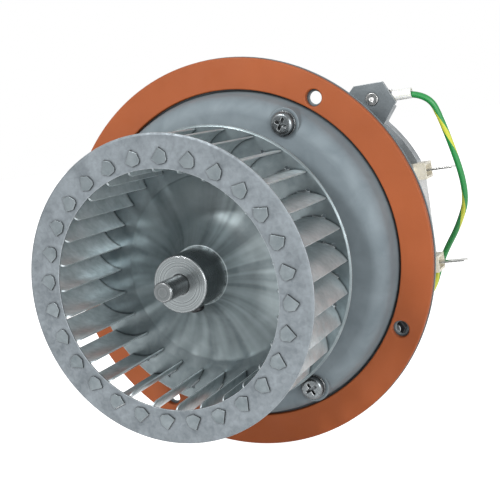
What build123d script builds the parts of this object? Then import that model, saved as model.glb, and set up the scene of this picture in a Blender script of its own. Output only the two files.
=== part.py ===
"""Flue-gas draft inducer: a flange-mounted centrifugal wheel driven by a shaded-pole motor.

Frame, in millimetres: the origin is on the shaft's axis, in the sealing face of the gasket. +Y runs
along the shaft to the motor, so the wheel and the flue are on the -Y side, and +Z is up.
A "station" is a distance y along the shaft.
"""
import os
from math import atan2, cos, degrees, hypot, pi, radians, sin, tan

from build123d import *

os.makedirs("parts", exist_ok=True)

# Flange plate, a pressed disc whose centre stands forward as a shallow drum
plate_sheet = 1.2
flange_radius = 87.0
flange_width = 14.4
drum_wall_run = 3.3
drum_height = 13.0
drum_foot_bend = 0.7
drum_edge_bend = 7.5
plate_bore_radius = 9.0

# Silicone gasket on the flange
gasket_thickness = 3.0
gasket_edge_margin = 0.3
gasket_foot_gap = 0.6

# Holes that fix the flange to the flue housing: two pairs across one circle
fixing_hole_inset = 9.0
fixing_hole_radius = 2.75
gasket_hole_margin = 0.85
fixing_pair_turns = (54.2, -28.6)

# Three screws through flat pads on the drum carry the motor on standoffs
support_inset = 4.3
support_count = 3
support_turn = 57.5
support_pad_radius = 6.5
screw_radius = 2.5
screw_hole_clearance = 0.2
screw_length = 12.0
head_radius = 4.8
head_height = 3.0
head_edge_round = 1.4
recess_span = 5.4
recess_bar = 1.3
recess_depth = 1.9
washer_radius = 5.2
washer_thickness = 0.8
standoff_flat_radius = 4.0
standoff_chamfer = 0.4

# Shaft seal behind the drum's bore
seal_radius = 14.0
seal_thickness = 2.5
seal_shaft_gap = 0.3
seal_cup_sheet = 0.6
seal_cup_brim = 5.0

# Shaft
shaft_radius = 4.0
shaft_front = -71.6
shaft_rear = 98.0
shaft_chamfer = 0.5
shaft_flat_depth = 0.5
shaft_flat_length = 9.0

# Wheel: an open front ring and a belled back plate joined by folded-tab blades
wheel_radius = 60.0
wheel_sheet = 0.6
ring_front = -70.5
ring_bore_set = 1.5
ring_land_radius = 59.2
ring_rim_set = 0.25
back_front = -25.6
back_rim_set = 0.4
back_land_radius = 59.2
bell_foot_set = 5.0
bell_foot_slope = 0.2
bell_knee_radius = 21.0
bell_knee_front = -30.6
bell_neck_radius = 12.4
bell_neck_front = -39.4
bell_neck_slope = 1.6

# Blades
blade_count = 28
blade_turn = -7.5
blade_inner_radius = 45.2
blade_start_lean = 12.0
blade_curve_radius = 17.0
blade_sweep = 59.0
blade_corner = 2.5
tab_sweep = 26.0
tab_width = 5.4
tab_fold = 4.9
tab_shoulder = 2.0
slot_clearance = 0.1
slot_relief = 0.8

# Wheel hub and its set screw
hub_radius = 11.5
hub_front = -57.2
hub_spigot_radius = 9.4
hub_collar_rear = -34.6
hub_collar_radius = 10.8
hub_chamfer = 0.4
hub_bore_clearance = 0.04
set_screw_radius = 2.9
set_screw_tip_radius = 2.2
set_screw_station = -48.4
set_screw_turn = -85.0
set_screw_stand = 1.5
set_screw_socket = 1.5
set_screw_socket_depth = 2.0

# Cooling fan between the flange and the motor
fan_disc_front = 16.0
fan_sheet = 1.0
fan_radius = 56.0
fan_blade_count = 12
fan_blade_root = 27.0
fan_blade_tip = 54.0
fan_blade_reach = 11.0
fan_spigot_radius = 6.0
fan_hub_radius = 9.0
fan_hub_length = 8.0

# Front bracket of the motor, with its two lugs
bracket_front = 34.0
bracket_sheet = 1.5
bracket_screw_margin = 3.0
bearing_cup_radius = 13.0
bearing_cup_depth = 8.0
bearing_cup_bore_radius = 6.5
window_circle_radius = 47.0
window_width = 13.0
window_span = 44.0
window_count = 4
lug_top = 65.8
lug_crown_left = 53.2
lug_crown_right = 66.4
lug_right = 71.2
lug_waist = 56.1
lug_foot_right = 64.4
lug_foot = 47.1
lug_foot_left = 48.0
lug_foot_left_level = 40.0
lug_neck = 42.0
lug_neck_level = 50.0
lug_shoulder = 48.6
lug_shoulder_level = 61.4
lug_lip = 4.0
lug_lip_set = 0.2
lug_rivet_spot = (60.6, 58.9)
earth_lug_spot = (57.8, -44.4)
earth_lug_radius = 7.5
earth_screw_radius = 2.0

# Stator stack
stack_front = 47.0
stack_length = 26.0
stack_half_height = 34.0
stack_left = -30.0
pole_body_right = 30.0
arm_root = 26.8
arm_right = 58.0
core_bar_width = 12.0
stator_bore_radius = 21.4
pole_gap = 3.0
pole_bridge = 1.5
motor_bolt_spot = 25.5
motor_bolt_radius = 2.0
motor_bolt_clearance = 0.15
stack_spacer_radius = 4.2
bolt_head_radius = 3.6
bolt_head_height = 2.6
bolt_stand = 1.0
nut_flat_radius = 3.5
nut_height = 3.2

# Shading rings
shading_wire = 2.0
shading_spot = (17.0, 22.0)
shading_gap_inset = 4.1
shading_clearance = 0.05

# Bobbin, winding and spade terminals
bobbin_wall = 1.2
bobbin_fit = 0.2
winding_side_build = 10.0
winding_end_build = 6.0
winding_corner = 3.0
bobbin_brim = 0.8
bobbin_flange_thickness = 2.0
bobbin_flange_set = 1.5
terminal_block_width = 13.0
terminal_block_height = 7.6
terminal_block_right = 75.2
terminal_block_levels = (22.8, -21.0)
terminal_block_offset = 0.5
block_pocket_wall = 1.2
block_pocket_depth = 2.6
terminal_thickness = 0.8
terminal_width = 4.8
terminal_reach = 12.2
terminal_seat = 4.8

# Rotor
air_gap = 0.4
rotor_overhang = 1.0
end_ring_thickness = 3.0
end_ring_width = 5.0
thrust_washer_radius = 6.0
thrust_washer_thickness = 0.8
thrust_play = 0.35
rotor_collar_set = 0.3

# Bearings: spherical bronze bushes with felt rings, held by spring caps
bush_ball_radius = 8.0
bush_length = 10.0
bush_clearance = 0.03
felt_thickness = 3.0
felt_ball_gap = 0.2
cap_sheet = 0.5
cap_bore_radius = 6.5
cap_brim_radius = 17.0

# Rear shield
shield_front = 84.0
shield_sheet = 1.2
shield_radius = 69.5
shield_half_height = 57.0
shield_half_width = 64.5
shield_rim_depth = 6.0
vent_count = 10
vent_circle_radius = 44.0
vent_width = 5.0
vent_span = 20.0

# Earth tab, receptacle, sleeve and wire
earth_tab_width = 4.8
earth_tab_thickness = 0.8
earth_tab_left = 57.0
earth_tab_right = 67.5
earth_tab_step = 2.2
earth_tab_bend = 64.0
rivet_radius = 1.6
rivet_brim_radius = 2.7
rivet_brim_height = 0.5
rivet_bore_radius = 1.0
receptacle_left = 65.3
receptacle_right = 69.0
receptacle_wall = 0.5
receptacle_fit = 0.1
barrel_radius = 1.9
barrel_right = 72.5
sleeve_wall = 0.4
sleeve_left = 69.2
sleeve_right = 77.6
wire_radius = 1.4
wire_crimp = 2.0
ring_terminal_radius = 4.6
ring_terminal_thickness = 0.8
ring_barrel_offset = 6.0
ring_barrel_turn = 45.0
ring_barrel_length = 7.0
earth_head_radius = 3.2
earth_head_height = 2.6
earth_nut_flat_radius = 3.5
earth_nut_height = 3.2

# Derived stations and radii
flange_front = gasket_thickness
flange_rear = flange_front + plate_sheet
drum_front = flange_front - drum_height
drum_rear = drum_front + plate_sheet
drum_foot_radius = flange_radius - flange_width
drum_edge_radius = drum_foot_radius - drum_wall_run
drum_wall_lean = degrees(atan2(drum_wall_run, drum_height))
drum_inside_set = plate_sheet / tan(radians(90 + drum_wall_lean) / 2)
fixing_circle_radius = flange_radius - fixing_hole_inset
support_circle_radius = drum_edge_radius - support_inset
bracket_radius = support_circle_radius + bracket_screw_margin
ring_bore_radius = blade_inner_radius + ring_bore_set
bell_foot_radius = blade_inner_radius - bell_foot_set
bracket_rear = bracket_front + bracket_sheet
stack_rear = stack_front + stack_length
stack_middle = stack_front + stack_length / 2
shield_rear = shield_front + shield_sheet
gasket_outer_radius = flange_radius - gasket_edge_margin
gasket_inner_radius = drum_foot_radius + gasket_foot_gap
ring_rear = ring_front + wheel_sheet
back_rear = back_front + wheel_sheet
back_rim_front = back_front + back_rim_set

# Derived sizes of a blade: it is an arc that leaves the inner edge leaning blade_start_lean behind
# the radius, and its tab stands where the arc has turned by tab_sweep
curve_centre_x = blade_inner_radius - blade_curve_radius * sin(radians(blade_start_lean))
curve_centre_z = -blade_curve_radius * cos(radians(blade_start_lean))
tab_heading = 90.0 - blade_start_lean - tab_sweep
tab_x = curve_centre_x + blade_curve_radius * cos(radians(tab_heading))
tab_z = curve_centre_z + blade_curve_radius * sin(radians(tab_heading))
tab_centre_radius = hypot(tab_x, tab_z)
tab_lag = -degrees(atan2(tab_z, tab_x))
tab_lean = blade_start_lean + tab_sweep - tab_lag


def across(y):
    """The plane across the shaft at station y, seen from the front: its x is +X and its y is +Z."""
    return Plane.XZ.offset(-y)


def spot(radius, turn):
    """A point at this radius and turn about the shaft."""
    return (radius * cos(radians(turn)), radius * sin(radians(turn)))


def near(shapes, *point):
    """The vertex or edge nearest to a point."""
    return shapes.sort_by_distance(Vector(*point))[0]


# The plane through the set screw's axis origin: its z axis is the screw's own axis, its y is +Y
set_screw_plane = Plane(
    origin=(0, set_screw_station, 0),
    x_dir=(sin(radians(set_screw_turn)), 0, -cos(radians(set_screw_turn))),
    z_dir=(cos(radians(set_screw_turn)), 0, sin(radians(set_screw_turn))),
)


# Mounting plate: pressed drum with a widely rounded edge, round pads where the screws stand on that
# edge, a bore for the shaft, and the fixing holes
with BuildPart() as mounting_plate:
    with BuildSketch(Plane.XY) as plate_outside:
        with BuildLine():
            Polyline(
                (0, drum_front),
                (drum_edge_radius, drum_front),
                (drum_foot_radius, flange_front),
                (flange_radius, flange_front),
                (flange_radius, flange_rear),
                (0, flange_rear),
                close=True,
            )
        make_face()
        outside_corners = plate_outside.vertices()
        fillet(near(outside_corners, drum_edge_radius, drum_front), drum_edge_bend)
        fillet(near(outside_corners, drum_foot_radius, flange_front), drum_foot_bend)
    revolve(axis=Axis.Y)
    with BuildSketch(across(flange_rear)):
        with PolarLocations(support_circle_radius, support_count, start_angle=support_turn):
            Circle(support_pad_radius)
    extrude(amount=flange_rear - drum_front)
    with BuildSketch(Plane.XY) as plate_inside:
        with BuildLine():
            Polyline(
                (0, drum_rear),
                (drum_edge_radius - drum_inside_set, drum_rear),
                (drum_foot_radius - drum_inside_set, flange_rear),
                (0, flange_rear),
                close=True,
            )
        make_face()
        inside_corners = plate_inside.vertices()
        fillet(
            near(inside_corners, drum_edge_radius - drum_inside_set, drum_rear),
            drum_edge_bend - plate_sheet,
        )
    revolve(axis=Axis.Y, mode=Mode.SUBTRACT)
    with BuildSketch(across(flange_rear)):
        with PolarLocations(support_circle_radius, support_count, start_angle=support_turn):
            Circle(support_pad_radius - plate_sheet)
    extrude(amount=flange_rear - drum_rear, mode=Mode.SUBTRACT)
    foot_rim = mounting_plate.edges().group_by(Axis.Y)[-1].sort_by(SortBy.LENGTH)[0]
    fillet(foot_rim, drum_foot_bend + plate_sheet)
    with BuildSketch(across(flange_rear)):
        Circle(plate_bore_radius)
        for turn in fixing_pair_turns:
            with PolarLocations(fixing_circle_radius, 2, start_angle=turn):
                Circle(fixing_hole_radius)
        with PolarLocations(support_circle_radius, support_count, start_angle=support_turn):
            Circle(screw_radius + screw_hole_clearance)
    extrude(amount=flange_rear - drum_front, mode=Mode.SUBTRACT)
mounting_plate.part.label = "mounting_plate"

# Gasket: a flat silicone ring with the same fixing holes, a little larger
with BuildPart() as gasket:
    with BuildSketch(across(flange_front)):
        Circle(gasket_outer_radius)
        Circle(gasket_inner_radius, mode=Mode.SUBTRACT)
        for turn in fixing_pair_turns:
            with PolarLocations(fixing_circle_radius, 2, start_angle=turn):
                Circle(fixing_hole_radius + gasket_hole_margin, mode=Mode.SUBTRACT)
    extrude(amount=gasket_thickness)
gasket.part.label = "gasket"

# Washers under the heads of the plate screws
with BuildPart() as screw_washers:
    with BuildSketch(across(drum_front)):
        with PolarLocations(support_circle_radius, support_count, start_angle=support_turn):
            Circle(washer_radius)
            Circle(screw_radius + screw_hole_clearance, mode=Mode.SUBTRACT)
    extrude(amount=washer_thickness)
screw_washers.part.label = "screw_washers"


def pan_head_screws(seat, facing, length):
    """Cross-recessed pan head screws on the support circle, with heads that face -Y (1) or +Y (-1)."""
    with BuildPart() as screws:
        with BuildSketch(across(seat)):
            with PolarLocations(support_circle_radius, support_count, start_angle=support_turn):
                Circle(head_radius)
        extrude(amount=facing * head_height)
        top = seat - facing * head_height
        rims = screws.edges().filter_by(GeomType.CIRCLE).filter_by_position(Axis.Y, top - 0.01, top + 0.01)
        fillet(rims, head_edge_round)
        with BuildSketch(across(top)):
            with PolarLocations(support_circle_radius, support_count, start_angle=support_turn):
                Rectangle(recess_span, recess_bar)
                Rectangle(recess_bar, recess_span)
        extrude(amount=-facing * recess_depth, mode=Mode.SUBTRACT)
        with BuildSketch(across(seat)):
            with PolarLocations(support_circle_radius, support_count, start_angle=support_turn):
                Circle(screw_radius)
        extrude(amount=-facing * length)
    return screws.part


# Plate screws, through washer and drum into the standoffs
plate_screws = pan_head_screws(drum_front - washer_thickness, 1, screw_length)
plate_screws.label = "plate_screws"

# Standoffs: tapped hexagonal pillars from the drum to the motor's front bracket
with BuildPart() as standoffs:
    with BuildSketch(across(drum_rear)):
        with PolarLocations(support_circle_radius, support_count, start_angle=support_turn):
            RegularPolygon(standoff_flat_radius, 6, major_radius=False, rotation=30)
    extrude(amount=drum_rear - bracket_front)
    chamfer(standoffs.edges().group_by(Axis.Y)[0], standoff_chamfer)
    with BuildSketch(across(drum_rear)):
        with PolarLocations(support_circle_radius, support_count, start_angle=support_turn):
            Circle(screw_radius)
    extrude(amount=drum_rear - bracket_front, mode=Mode.SUBTRACT)
standoffs.part.label = "standoffs"

# Shaft seal: a graphite felt ring held against the drum by a pressed cup
with BuildPart() as shaft_seal:
    with BuildSketch(across(drum_rear)):
        Circle(seal_radius)
        Circle(shaft_radius + seal_shaft_gap, mode=Mode.SUBTRACT)
    extrude(amount=-seal_thickness)
shaft_seal.part.label = "shaft_seal"

with BuildPart() as seal_cup:
    with BuildSketch(Plane.XY):
        with BuildLine():
            cup_rear = drum_rear + seal_thickness + seal_cup_sheet
            Polyline(
                (plate_bore_radius, cup_rear - seal_cup_sheet),
                (seal_radius, cup_rear - seal_cup_sheet),
                (seal_radius, drum_rear),
                (seal_radius + seal_cup_brim, drum_rear),
                (seal_radius + seal_cup_brim, drum_rear + seal_cup_sheet),
                (seal_radius + seal_cup_sheet, drum_rear + seal_cup_sheet),
                (seal_radius + seal_cup_sheet, cup_rear),
                (plate_bore_radius, cup_rear),
                close=True,
            )
        make_face()
    revolve(axis=Axis.Y)
seal_cup.part.label = "seal_cup"

# Shaft: ground steel bar with chamfered ends and a flat for the set screw
with BuildPart() as shaft:
    with BuildSketch(across(shaft_rear)):
        Circle(shaft_radius)
    extrude(amount=shaft_rear - shaft_front)
    chamfer(shaft.edges().filter_by(GeomType.CIRCLE), shaft_chamfer)
    with BuildSketch(set_screw_plane.offset(shaft_radius - shaft_flat_depth)):
        Rectangle(2 * shaft_radius, shaft_flat_length)
    extrude(amount=shaft_flat_depth, mode=Mode.SUBTRACT)
shaft.part.label = "shaft"


def slot_rows():
    """The slits for one row of blade tabs, in a sketch across the shaft."""
    with PolarLocations(tab_centre_radius, blade_count, start_angle=blade_turn):
        Rectangle(
            tab_width + 2 * slot_clearance,
            wheel_sheet + 2 * slot_clearance,
            rotation=-tab_lean,
        )


# Front ring of the wheel: flat annulus whose rim is set back, with a slit for each blade's tab
with BuildPart() as wheel_front_ring:
    with BuildSketch(Plane.XY):
        with BuildLine():
            Polyline(
                (ring_bore_radius, ring_front),
                (ring_land_radius, ring_front),
                (wheel_radius, ring_front + ring_rim_set),
                (wheel_radius, ring_rear + ring_rim_set),
                (ring_land_radius, ring_rear),
                (ring_bore_radius, ring_rear),
                close=True,
            )
        make_face()
    revolve(axis=Axis.Y)
    with BuildSketch(across(ring_rear)):
        slot_rows()
    extrude(amount=wheel_sheet, mode=Mode.SUBTRACT)
wheel_front_ring.part.label = "wheel_front_ring"

# Back plate of the wheel: rim, flat land for the blades, then a bell that rises to the hub
with BuildPart() as wheel_back_plate:
    with BuildSketch(Plane.XY):
        with BuildLine():
            Polyline(
                (bell_foot_radius, back_rear),
                (back_land_radius, back_rear),
                (wheel_radius, back_rim_front + wheel_sheet),
                (wheel_radius, back_rim_front),
                (back_land_radius, back_front),
                (bell_foot_radius, back_front),
            )
            Spline(
                (bell_foot_radius, back_front),
                (bell_knee_radius, bell_knee_front),
                (bell_neck_radius, bell_neck_front),
                tangents=[(-1, -bell_foot_slope), (-1, -bell_neck_slope)],
            )
            Polyline(
                (bell_neck_radius, bell_neck_front),
                (hub_spigot_radius, bell_neck_front),
                (hub_spigot_radius, bell_neck_front + wheel_sheet),
                (bell_neck_radius - wheel_sheet / 3, bell_neck_front + wheel_sheet),
            )
            Spline(
                (bell_neck_radius - wheel_sheet / 3, bell_neck_front + wheel_sheet),
                (bell_knee_radius, bell_knee_front + wheel_sheet),
                (bell_foot_radius, back_rear),
                tangents=[(1, bell_neck_slope), (1, bell_foot_slope)],
            )
        make_face()
    revolve(axis=Axis.Y)
    with BuildSketch(across(back_rear)):
        slot_rows()
        with PolarLocations(tab_centre_radius, blade_count, start_angle=blade_turn):
            with Locations(Location((0, 0, 0), (0, 0, -tab_lean))):
                with Locations((tab_width / 2 - slot_relief, slot_relief)):
                    Circle(slot_relief)
    extrude(amount=wheel_sheet, mode=Mode.SUBTRACT)
wheel_back_plate.part.label = "wheel_back_plate"

# Blades: curved strips whose end tabs pass through the slits and are folded flat on the far side
with BuildSketch() as blade_section:
    with BuildLine():
        outer_face = JernArc(
            start=(blade_inner_radius, 0),
            tangent=(cos(radians(blade_start_lean)), -sin(radians(blade_start_lean))),
            radius=blade_curve_radius,
            arc_size=-blade_sweep,
        )
        tip_edge = Line(outer_face @ 1, outer_face @ 1 + wheel_sheet * Vector(
            -sin(radians(blade_start_lean + blade_sweep)), -cos(radians(blade_start_lean + blade_sweep))
        ))
        inner_face = JernArc(
            start=tip_edge @ 1,
            tangent=-1 * (outer_face % 1),
            radius=blade_curve_radius - wheel_sheet,
            arc_size=blade_sweep,
        )
        Line(inner_face @ 1, outer_face @ 0)
    make_face()

with BuildPart() as wheel_blades:
    with BuildSketch(across(back_front)):
        with PolarLocations(0, blade_count, start_angle=blade_turn + tab_lag):
            add(blade_section.sketch)
    extrude(amount=back_front - ring_rear)
    with BuildSketch(Plane.XY):
        with BuildLine():
            Polyline(
                (blade_inner_radius, ring_rear + blade_corner),
                (ring_bore_radius - blade_corner, ring_rear + blade_corner),
                (ring_bore_radius - blade_corner, ring_rear),
                (blade_inner_radius + blade_corner, ring_rear),
            )
            RadiusArc(
                (blade_inner_radius + blade_corner, ring_rear),
                (blade_inner_radius, ring_rear + blade_corner),
                blade_corner,
            )
        make_face()
    revolve(axis=Axis.Y, mode=Mode.SUBTRACT)
    with BuildSketch(across(back_rear + wheel_sheet)):
        with PolarLocations(tab_centre_radius, blade_count, start_angle=blade_turn):
            Rectangle(tab_width, wheel_sheet, rotation=-tab_lean)
    extrude(amount=3 * wheel_sheet)
    with BuildSketch(across(ring_rear + wheel_sheet)):
        with PolarLocations(tab_centre_radius, blade_count, start_angle=blade_turn):
            Rectangle(tab_width, wheel_sheet, rotation=-tab_lean)
    extrude(amount=3 * wheel_sheet)
    for fold_station in (ring_front, back_rear + wheel_sheet):
        with BuildSketch(across(fold_station)):
            with PolarLocations(tab_centre_radius, blade_count, start_angle=blade_turn):
                Polygon(
                    (-tab_width / 2, 0),
                    (tab_width / 2, 0),
                    (tab_width / 2, tab_shoulder - tab_fold),
                    (tab_width / 2 - tab_shoulder, -tab_fold),
                    (tab_shoulder - tab_width / 2, -tab_fold),
                    (-tab_width / 2, tab_shoulder - tab_fold),
                    rotation=-tab_lean,
                    align=None,
                )
        extrude(amount=wheel_sheet)
wheel_blades.part.label = "wheel_blades"

# Hub: turned steel, its spigot through the bell's neck and riveted over into a collar behind
with BuildPart() as wheel_hub:
    with BuildSketch(Plane.XY):
        hub_bore_radius = shaft_radius + hub_bore_clearance
        neck_rear = bell_neck_front + wheel_sheet
        Polygon(
            (hub_bore_radius, hub_front),
            (hub_radius, hub_front),
            (hub_radius, bell_neck_front),
            (hub_spigot_radius, bell_neck_front),
            (hub_spigot_radius, neck_rear),
            (hub_collar_radius, neck_rear),
            (hub_collar_radius, hub_collar_rear),
            (hub_bore_radius, hub_collar_rear),
            align=None,
        )
    revolve(axis=Axis.Y)
    front_rims = wheel_hub.edges().filter_by_position(Axis.Y, hub_front - 0.01, hub_front + 0.01)
    chamfer(front_rims.sort_by(SortBy.LENGTH)[-1], hub_chamfer)
    chamfer(front_rims.sort_by(SortBy.LENGTH)[0], hub_chamfer / 2)
    with BuildSketch(set_screw_plane):
        Circle(set_screw_radius)
    extrude(amount=hub_radius + 1, mode=Mode.SUBTRACT)
wheel_hub.part.label = "wheel_hub"

# Set screw: socket screw whose flat tip bears on the shaft's flat
with BuildPart() as set_screw:
    with BuildSketch(set_screw_plane.offset(shaft_radius - shaft_flat_depth)):
        Circle(set_screw_radius)
    set_screw_length = hub_radius + set_screw_stand - shaft_radius + shaft_flat_depth
    extrude(amount=set_screw_length)
    chamfer(set_screw.edges().filter_by(GeomType.CIRCLE), set_screw_radius - set_screw_tip_radius)
    with BuildSketch(set_screw_plane.offset(hub_radius + set_screw_stand)):
        RegularPolygon(set_screw_socket, 6, major_radius=False)
    extrude(amount=-set_screw_socket_depth, mode=Mode.SUBTRACT)
set_screw.part.label = "set_screw"

# Cooling fan: pressed disc with blades bent forward out of their own windows
with BuildPart() as cooling_fan:
    blade_length = fan_blade_tip - fan_blade_root
    blade_middle = (fan_blade_tip + fan_blade_root) / 2
    with BuildSketch(across(fan_disc_front + fan_sheet)):
        Circle(fan_radius)
        Circle(fan_spigot_radius, mode=Mode.SUBTRACT)
        with PolarLocations(blade_middle, fan_blade_count):
            with Locations((0, (fan_blade_reach + fan_sheet) / 2)):
                Rectangle(blade_length, fan_blade_reach, mode=Mode.SUBTRACT)
    extrude(amount=fan_sheet)
    with BuildSketch(across(fan_disc_front + fan_sheet)):
        with PolarLocations(blade_middle, fan_blade_count):
            Rectangle(blade_length, fan_sheet)
    extrude(amount=fan_blade_reach + fan_sheet)
cooling_fan.part.label = "cooling_fan"

# Hub of the cooling fan, pressed on the shaft
with BuildPart() as cooling_fan_hub:
    with BuildSketch(across(fan_disc_front + fan_sheet + fan_hub_length)):
        Circle(fan_hub_radius)
    extrude(amount=fan_hub_length)
    with BuildSketch(across(fan_disc_front + fan_sheet)):
        Circle(fan_spigot_radius)
    extrude(amount=fan_sheet)
    with BuildSketch(across(fan_disc_front + fan_sheet + fan_hub_length)):
        Circle(shaft_radius)
    extrude(amount=fan_hub_length + fan_sheet, mode=Mode.SUBTRACT)
cooling_fan_hub.part.label = "cooling_fan_hub"


def bearing_cup(face, away, sheet):
    """Profile of a drawn cup for a bush, in a sheet whose motor side is at face; away is its direction."""
    Polygon(
        (bearing_cup_radius, face),
        (bearing_cup_radius, face + away * bearing_cup_depth),
        (bearing_cup_bore_radius, face + away * bearing_cup_depth),
        (bearing_cup_bore_radius, face + away * (bearing_cup_depth + sheet)),
        (bearing_cup_radius + sheet, face + away * (bearing_cup_depth + sheet)),
        (bearing_cup_radius + sheet, face),
        align=None,
    )


def lip(start, end):
    """Plan of a bent-back lip along an edge that runs clockwise from start to end."""
    length = hypot(end[0] - start[0], end[1] - start[1])
    inward = ((end[1] - start[1]) / length, (start[0] - end[0]) / length)
    Polygon(
        start,
        end,
        (end[0] + inward[0] * bracket_sheet, end[1] + inward[1] * bracket_sheet),
        (start[0] + inward[0] * bracket_sheet, start[1] + inward[1] * bracket_sheet),
        align=None,
    )


lug_right_corner = (lug_right, lug_waist)
lug_foot_corner = (lug_foot_right, lug_foot)
lug_lip_corner = (
    lug_right - lug_lip_set * (lug_right - lug_foot_right),
    lug_waist - lug_lip_set * (lug_waist - lug_foot),
)
lug_crown_corner = (lug_crown_left, lug_top)
lug_shoulder_corner = (lug_shoulder, lug_shoulder_level)
motor_bolt_spots = [
    (side * motor_bolt_spot, level * motor_bolt_spot) for side in (-1, 1) for level in (-1, 1)
]

# Front bracket: pressed disc with a bearing cup, air windows, an ear for the earth tab and an earth lug
with BuildPart() as front_bracket:
    with BuildSketch(across(bracket_rear)):
        Circle(bracket_radius)
        Polygon(
            lug_crown_corner,
            (lug_crown_right, lug_top),
            lug_right_corner,
            lug_foot_corner,
            (lug_foot_left, lug_foot_left_level),
            (lug_neck, lug_neck_level),
            lug_shoulder_corner,
            align=None,
        )
        with Locations(earth_lug_spot):
            Circle(earth_lug_radius)
            Circle(earth_screw_radius + motor_bolt_clearance, mode=Mode.SUBTRACT)
        with Locations(lug_rivet_spot):
            Circle(rivet_radius, mode=Mode.SUBTRACT)
        Circle(bearing_cup_radius, mode=Mode.SUBTRACT)
        for window in range(window_count):
            window_start = window * 360 / window_count - window_span / 2
            window_arc = CenterArc((0, 0), window_circle_radius, window_start, window_span)
            SlotArc(window_arc, window_width, mode=Mode.SUBTRACT)
        with PolarLocations(support_circle_radius, support_count, start_angle=support_turn):
            Circle(screw_radius + screw_hole_clearance, mode=Mode.SUBTRACT)
        with Locations(*motor_bolt_spots):
            Circle(motor_bolt_radius + motor_bolt_clearance, mode=Mode.SUBTRACT)
    extrude(amount=bracket_sheet)
    with BuildSketch(Plane.XY):
        bearing_cup(bracket_rear, -1, bracket_sheet)
    revolve(axis=Axis.Y)
    with BuildSketch(across(bracket_rear + lug_lip)):
        lip(lug_lip_corner, lug_foot_corner)
        lip(lug_shoulder_corner, lug_crown_corner)
    extrude(amount=lug_lip)
front_bracket.part.label = "front_bracket"

# Screws that hold the front bracket to the standoffs, from the motor's side
bracket_screws = pan_head_screws(bracket_rear, -1, screw_length)
bracket_screws.label = "bracket_screws"

# Rear shield: round plate with four flats, a turned-back rim, vents and a bearing cup
with BuildPart() as rear_shield:
    with BuildSketch(across(shield_rear + shield_rim_depth)):
        Circle(shield_radius)
        Rectangle(2 * shield_half_width, 2 * shield_half_height, mode=Mode.INTERSECT)
    extrude(amount=shield_rim_depth + shield_sheet)
    with BuildSketch(across(shield_rear + shield_rim_depth)):
        Circle(shield_radius - shield_sheet)
        Rectangle(
            2 * (shield_half_width - shield_sheet),
            2 * (shield_half_height - shield_sheet),
            mode=Mode.INTERSECT,
        )
    extrude(amount=shield_rim_depth, mode=Mode.SUBTRACT)
    with BuildSketch(across(shield_rear)):
        Circle(bearing_cup_radius)
        for vent in range(vent_count):
            vent_start = (vent + 0.5) * 360 / vent_count - vent_span / 2
            vent_arc = CenterArc((0, 0), vent_circle_radius, vent_start, vent_span)
            SlotArc(vent_arc, vent_width)
        with Locations(*motor_bolt_spots):
            Circle(motor_bolt_radius + motor_bolt_clearance)
    extrude(amount=shield_sheet, mode=Mode.SUBTRACT)
    with BuildSketch(Plane.XY):
        bearing_cup(shield_front, 1, shield_sheet)
    revolve(axis=Axis.Y)
rear_shield.part.label = "rear_shield"


# A bush's ball rests on the rim of its cup's bore
bush_seat_depth = bearing_cup_depth - (bush_ball_radius**2 - bearing_cup_bore_radius**2) ** 0.5
front_bush_centre = bracket_rear - bush_seat_depth
rear_bush_centre = shield_front + bush_seat_depth


def bronze_bush(centre):
    """A spherical bush with flat ends, bored with running clearance on the shaft."""
    with BuildPart() as bush:
        with BuildSketch(Plane.XY):
            with Locations((0, centre)):
                Circle(bush_ball_radius)
                Rectangle(2 * bush_ball_radius, bush_length, mode=Mode.INTERSECT)
            bore_radius = shaft_radius + bush_clearance
            with Locations((bore_radius - bush_ball_radius, centre)):
                Rectangle(2 * bush_ball_radius, 2 * bush_ball_radius, mode=Mode.SUBTRACT)
        revolve(axis=Axis.Y)
    return bush.part


front_bearing = bronze_bush(front_bush_centre)
front_bearing.label = "front_bearing"
rear_bearing = bronze_bush(rear_bush_centre)
rear_bearing.label = "rear_bearing"


def felt_ring(centre):
    """An oiled felt ring that lies round a bush in its cup."""
    with BuildPart() as felt:
        with BuildSketch(across(centre + felt_thickness / 2)):
            Circle(bearing_cup_radius)
            Circle(bush_ball_radius + felt_ball_gap, mode=Mode.SUBTRACT)
        extrude(amount=felt_thickness)
    return felt.part


front_felt = felt_ring(front_bush_centre)
front_felt.label = "front_felt"
rear_felt = felt_ring(rear_bush_centre)
rear_felt.label = "rear_felt"


def bearing_cap(face, away, centre):
    """A dished spring cap on the motor side of a sheet, whose bore presses on the bush's ball."""
    touch = centre - away * (bush_ball_radius**2 - cap_bore_radius**2) ** 0.5
    with BuildPart() as cap:
        with BuildSketch(Plane.XY):
            Polygon(
                (cap_brim_radius, face),
                (bearing_cup_radius, face),
                (cap_bore_radius, touch),
                (cap_bore_radius, touch - away * cap_sheet),
                (bearing_cup_radius, face - away * cap_sheet),
                (cap_brim_radius, face - away * cap_sheet),
                align=None,
            )
        revolve(axis=Axis.Y)
    return cap.part


front_bearing_cap = bearing_cap(bracket_rear, -1, front_bush_centre)
front_bearing_cap.label = "front_bearing_cap"
rear_bearing_cap = bearing_cap(shield_front, 1, rear_bush_centre)
rear_bearing_cap.label = "rear_bearing_cap"

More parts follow.
